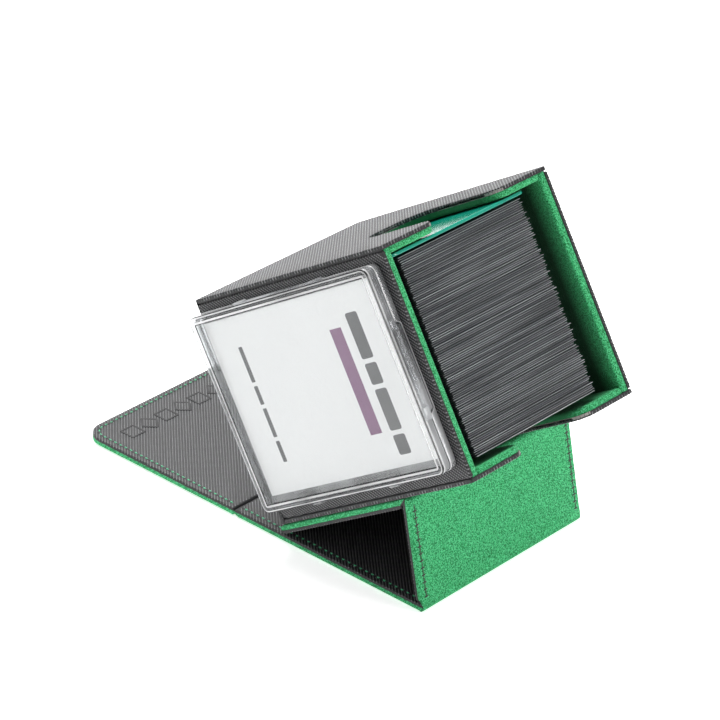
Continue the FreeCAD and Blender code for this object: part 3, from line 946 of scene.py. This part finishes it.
class DECKBOX_OT_display_case(Operator):
    """Build the clear display case: tray with a ledge, and lid with latch tabs"""
    bl_idname = "deckbox.display_case"
    bl_label = "Display case"
    bl_options = {"REGISTER", "UNDO"}

    def execute(self, context):
        corners = rectangle(*CASE)
        mid = np.array([(CASE[0] + CASE[2]) / 2, (CASE[1] + CASE[3]) / 2])
        half = np.array([CASE[2] - CASE[0], CASE[3] - CASE[1]]) / 2 * LATCH_SHARE
        rim = ring(corners, CASE_CORNER, 0, 0.8, 9)
        off = rim - mid
        on_side = np.abs(off[:, 0]) > (CASE[2] - CASE[0]) / 2 - 0.5
        across = np.where(on_side, np.abs(off[:, 1]) - half[1], np.abs(off[:, 0]) - half[0])

        def latch(spread):
            """One along the latches, nothing elsewhere, changing over four fifths of a millimetre."""
            return np.clip((spread - across) / 0.8 + 0.5, 0, 1)

        wall = CASE_PARTING - CASE_PLAY / 2
        tray_rim = wall - (wall - 0.75) * latch(0.5)
        edge = CASE_SHEET
        # The last number of each level picks the finish of the band below it: 0 the clear window, 1 the
        # walls with painted light, 2 the bends with painted shade, 3 the lands with a painted highlight.
        tray = [(0.5, 0.0, 0), (0.45, 0.0, 0), (0.12, 0.12, 2), (0, 0.4, 2), (0, tray_rim - 0.4, 1),
                (0.15, tray_rim, 3), (edge - 0.2, tray_rim, 1), (edge, tray_rim - 0.1, 2),
                (edge, 0.62, 1), (2.2, 0.62, 0), (2.2, 3.3, 1), (2.5, INSERT_BACK, 2),
                (5.1, INSERT_BACK, 1), (5.4, INSERT_BACK, 3), (5.6, 3.4, 2), (5.6, 0.65, 0),
                (5.65, 0.6, 0)]
        finishes = [finish(f) for f in ("clear", "clear_wall_painted_light", "clear_bend_painted_shade", "clear_land_painted_highlight")]
        add_piece("display_tray", "box", [self.moulded(corners, tray)], finishes,
                  ["display_base"], sharp=30)
        skirt = CASE_PARTING + CASE_PLAY / 2
        low = skirt - (skirt - 0.95) * latch(0.0)
        inner = CASE_DEPTH - CASE_SHEET
        cover = [(1.45, inner, 0), (1.4, inner, 0), (edge, inner - 0.2, 2), (edge, low + 0.4, 1),
                 (edge - 0.15, low, 2), (0.15, low, 1), (0, low + 0.35, 2), (0, 6.1, 1),
                 (0, 6.75, 3), (0.1, 7.15, 2), (0.35, 7.34, 2), (0.8, CASE_DEPTH, 3),
                 (2.0, CASE_DEPTH, 0), (2.75, CASE_DEPTH, 3), (3.1, 7.22, 2), (3.15, 7.2, 0)]
        add_piece("display_cover", "lid",
                  [self.moulded(corners, cover)] + self.latches(mid, half), finishes,
                  ["display_lid"], sharp=30)
        return {"FINISHED"}

    def moulded(self, corners, levels):
        """A plate whose band below each level has that level's finish."""
        points, faces = plate(corners, CASE_CORNER, [(i, h) for i, h, _ in levels], 0.8, 9)
        around = len(points) // len(levels)
        return FRONT, points, faces, np.repeat([f for *_, f in levels[1:]], around).tolist() + [0, 0]

    def latches(self, mid, half):
        """On each side of the lid: a lug at both ends of the latch, and a finger ridge between."""
        parts = []
        for axis, sign in ((0, -1), (0, 1), (1, -1), (1, 1)):
            edge = mid[axis] + sign * (CASE[2 + axis] - CASE[axis]) / 2
            place = FRONT.turned((edge, 0, 0) if axis == 0 else (0, edge, 0),
                                 *(("y", "z") if axis == 0 else ("z", "x")))
            centre, reach = mid[1 - axis], half[1 - axis]
            for a0, a1, c0, c1, lift in (
                    (-reach - 2.6, -reach + 2.0, 3.6, 6.6, 0.85), (reach - 2.0, reach + 2.6, 3.6, 6.6, 0.85),
                    (-reach + 3.2, reach - 3.2, 4.4, 5.3, 0.45)):
                corners = rectangle(centre + a0, c0, centre + a1, c1)
                if axis == 1:
                    corners = swapped(corners, [0] * 4)[0]
                heights = [(0.3, -0.3 * sign), (0, -0.2 * sign), (0, (lift - 0.3) * sign),
                           (0.1, (lift - 0.1) * sign), (0.3, lift * sign)]
                points, faces = plate(corners, 0.4, heights, 3.0, 5, inward=sign < 0)
                parts.append((place, points, faces, 1))
        return parts


class DECKBOX_OT_insert(Operator):
    """Build the printed insert with its plain bars"""
    bl_idname = "deckbox.insert"
    bl_label = "Printed insert"
    bl_options = {"REGISTER", "UNDO"}

    def execute(self, context):
        (u, t), (wide, tall) = INSERT_MIDDLE, INSERT_SIZE
        corners = rectangle(u - wide / 2, t - tall / 2, u + wide / 2, t + tall / 2)
        face = INSERT_BACK + INSERT_THICK
        parts = [(FRONT, *plate(corners, 0.4, rounded_levels(INSERT_BACK, face, 0.05, 0.08)), 0)]

        def mark(u0, t0, u1, t1, ink, radius=0.5):
            parts.append((FRONT, *plate(rectangle(u0, t0, u1, t1), radius,
                                        [(0.03, face - 0.02), (0, face), (0.02, face + 0.02)],
                                        9.0, 5), ink))

        mark(22.6, 65.4, 61.9, 71.3, 1, 0.1)
        for u0, u1 in ((18.5, 35.5), (37.2, 45.0), (46.7, 62.0), (63.7, 71.0)):
            mark(u0, 75.6, u1, 81.6, 2, 0.9)
        for u0, u1 in ((20.0, 33.5), (35.0, 42.0), (43.5, 54.5), (56.0, 64.0)):
            mark(u0, 17.1, u1, 19.1, 2, 0.3)
        add_piece("insert_print", "insert", parts,
                  [finish("insert"), finish("band"), finish("ink")], ["card_insert"])
        return {"FINISHED"}


class DECKBOX_OT_deck(Operator):
    """Build the deck of sleeved cards"""
    bl_idname = "deckbox.deck"
    bl_label = "Sleeved cards"
    bl_options = {"REGISTER", "UNDO"}

    def execute(self, context):
        i = np.arange(CARDS)
        short = 0.9 + 0.6 * np.sin(2.4 * i) + 0.3 * np.sin(0.37 * i)
        low = 0.4 + 0.4 * np.sin(1.7 * i)
        front, foot = INNER_FRONT + CARD_GAP, FLOOR_TOP + BAY_SLACK
        wide, tall = CARD_WIDE - short, CARD_TALL - BAY_SLACK - low
        base = ring(rectangle(0, 0, 1, 1), 0.012, 0, 0.12, 3)
        stack = []
        for inset, x in ((0.12, 0.0), (0.0, 0.12), (0.0, CARD_THICK - 0.12), (0.12, CARD_THICK)):
            v = front + inset + base[:, 0] * (wide[:, None] - 2 * inset)
            t = foot + inset + base[:, 1] * (tall[:, None] - 2 * inset)
            lean = 0.07 * np.sin(1.3 * i[:, None] + 0.9 * base[:, 0]) * base[:, 0]
            u = DECK_START + i[:, None] * CARD_PITCH + x + lean
            stack.append(np.stack([u, v, t], -1))
        cards = np.stack(stack, 1)
        points, faces = tubes(cards)
        flat = np.linspace(0, 1, 7)
        v = front + 0.6 + flat * (wide[:, None] - 1.4)
        lean = 0.07 * np.sin(1.3 * i[:, None] + 0.9 * flat) * flat
        u = DECK_START + i[:, None] * CARD_PITCH + 0.24 + lean
        centre = np.stack([u, v, np.broadcast_to((foot + tall - 0.02)[:, None], v.shape)], -1)
        normals = np.broadcast_to(np.array([0, 0, 1.0]), centre.shape)
        section = np.array([(0.13, -0.1), (0.09, 0.1), (-0.09, 0.1), (-0.13, -0.1)])
        lip = sweep(centre, normals, np.repeat(section[None], len(flat), 0))
        add_piece("sleeve_stack", "deck", [(BOX, points, faces, 0), (BOX, *lip, 1)],
                  [finish("sleeve"), finish("lip")], ["sleeved_cards"])
        return {"FINISHED"}


class DECKBOX_OT_divider(Operator):
    """Build the teal divider"""
    bl_idname = "deckbox.divider"
    bl_label = "Divider"
    bl_options = {"REGISTER", "UNDO"}

    def execute(self, context):
        front, foot = INNER_FRONT + BAY_SLACK, FLOOR_TOP + BAY_SLACK
        wide, tall = DIVIDER_WIDE, CARD_TALL + 0.5 - BAY_SLACK
        sheet = BOX.turned((DIVIDER_START, 0, 0), "y", "z")
        corners = rectangle(front, foot, front + wide, foot + tall)
        levels = rounded_levels(0, DIVIDER_THICK, 0.3, 0.3)
        add_piece("divider_sheet", "divider_card",
                  [(sheet, *plate(corners, 3.0, levels), 0)], [finish("divider")], ["divider"])
        return {"FINISHED"}


class DECKBOX_OT_cores(Operator):
    """Give the boards and magnets, which stay as drawn, their finishes"""
    bl_idname = "deckbox.cores"
    bl_label = "Boards and magnets"
    bl_options = {"REGISTER", "UNDO"}

    def execute(self, context):
        for name, node in frame["nodes"].items():
            kind = "board" if name.endswith("_board") else "magnet" if name.endswith("magnets") else None
            if kind:
                node.data.materials.clear()
                node.data.materials.append(finish(kind))
        return {"FINISHED"}


# The view that the stage's camera takes, in the row frame.
CAMERA_TARGET = (0.0047, 0.0017, 0.0569)
CAMERA_DISTANCE = 1.3444
CAMERA_AZIMUTH, CAMERA_ELEVATION, CAMERA_ROLL = 40.04, 29.33, -2.9
CAMERA_LENS = 185.95


class DECKBOX_OT_stage(Operator):
    """Set the pale floor, the studio lights and the camera"""
    bl_idname = "deckbox.stage"
    bl_label = "Stage"
    bl_options = {"REGISTER", "UNDO"}

    def execute(self, context):
        scene = bpy.context.scene
        scene.view_settings.view_transform = "Standard"
        self.floor(scene)
        self.lights(scene)
        self.camera(scene)
        return {"FINISHED"}

    def floor(self, scene):
        """A large flat sheet just under the object."""
        f = Finish("pale_floor", (0.93, 0.93, 0.93, 1), Roughness=0.9, Emission_Strength=0.68,
                   Emission_Color=(1, 1, 1, 1))
        f.colour(f.mix(f.band(f.noise(3, 2.0), 0.3, 0.7), (0.92, 0.92, 0.92, 1), (0.94, 0.94, 0.94, 1)))
        mesh = bpy.data.meshes.new("floor")
        far, low = 4.0, -0.0002
        mesh.from_pydata([(-far, -far, low), (far, -far, low), (far, far, low), (-far, far, low)], [],
                         [(0, 1, 2, 3)])
        mesh.materials.append(f.material)
        floor = bpy.data.objects.new("floor", mesh)
        scene.collection.objects.link(floor)

    def lights(self, scene):
        world = bpy.data.worlds.new("studio")
        world.use_nodes = True
        world.node_tree.nodes["Background"].inputs[0].default_value = (1, 1, 1, 1)
        world.node_tree.nodes["Background"].inputs[1].default_value = 0.35
        scene.world = world
        for name, place, aim, side, power in (
                ("key", (-0.6, 0.3, 1.2), (0, 0, 0.05), 0.6, 25.0),
                ("right", (1.3, 0.45, 0.75), (0, 0, 0.05), 0.5, 8.0),
                ("back", (-0.95, 1.1, 0.8), (0, 0, 0.05), 0.9, 3.0),
                ("front", (0.1, -1.3, 0.5), (0, 0, 0.05), 0.6, 0.6)):
            data = bpy.data.lights.new(name, "AREA")
            data.size, data.energy = side, power
            lamp = bpy.data.objects.new(name, data)
            lamp.matrix_world = looking(np.array(place), np.array(aim))
            scene.collection.objects.link(lamp)

    def camera(self, scene):
        data = bpy.data.cameras.new("camera")
        data.lens, data.sensor_width, data.clip_start, data.clip_end = CAMERA_LENS, 36, 0.05, 20
        camera = bpy.data.objects.new("camera", data)
        az, el = radians(CAMERA_AZIMUTH), radians(CAMERA_ELEVATION)
        back = np.array([sin(az) * cos(el), -cos(az) * cos(el), sin(el)])
        target = np.array(CAMERA_TARGET)
        camera.matrix_world = looking(target + back * CAMERA_DISTANCE, target, radians(CAMERA_ROLL))
        scene.collection.objects.link(camera)
        scene.camera = camera


def looking(place, aim, roll=0.0):
    """The matrix of something at a place that looks at a point, turned about its own line of sight."""
    forward = unit(aim - place)
    right = unit(np.cross(forward, (0, 0, 1)))
    up = np.cross(right, forward)
    right, up = right * cos(roll) - up * sin(roll), up * cos(roll) + right * sin(roll)
    matrix = np.eye(4)
    matrix[:3, 0], matrix[:3, 1], matrix[:3, 2], matrix[:3, 3] = right, up, -forward, place
    return Matrix(matrix.tolist())


OPERATORS = (DECKBOX_OT_panels, DECKBOX_OT_fold_webs, DECKBOX_OT_stitches, DECKBOX_OT_emblem,
             DECKBOX_OT_walls, DECKBOX_OT_linings, DECKBOX_OT_display_case, DECKBOX_OT_insert,
             DECKBOX_OT_deck, DECKBOX_OT_divider, DECKBOX_OT_cores, DECKBOX_OT_stage)


class DECKBOX_PT_sidebar(Panel):
    """Lists the deck box's pieces and settings"""
    bl_idname = "DECKBOX_PT_sidebar"
    bl_label = "Deck box"
    bl_space_type = "VIEW_3D"
    bl_region_type = "UI"
    bl_category = "Deck box"

    def draw(self, context):
        for group in (context.scene.deck_box_sizes, context.scene.deck_box_colours):
            for key in group.__annotations__:
                self.layout.prop(group, key)
        for op in OPERATORS:
            self.layout.operator(op.bl_idname)


CLASSES = (DeckBoxSizes, DeckBoxColours, *OPERATORS, DECKBOX_PT_sidebar)


def register():
    for c in CLASSES:
        bpy.utils.register_class(c)
    bpy.types.Scene.deck_box_sizes = PointerProperty(type=DeckBoxSizes)
    bpy.types.Scene.deck_box_colours = PointerProperty(type=DeckBoxColours)


def unregister():
    del bpy.types.Scene.deck_box_colours
    del bpy.types.Scene.deck_box_sizes
    for c in reversed(CLASSES):
        bpy.utils.unregister_class(c)


def main():
    register()
    for op in OPERATORS:
        group, name = op.bl_idname.split(".")
        getattr(getattr(bpy.ops, group), name)()


if __name__ == "__main__":
    main()
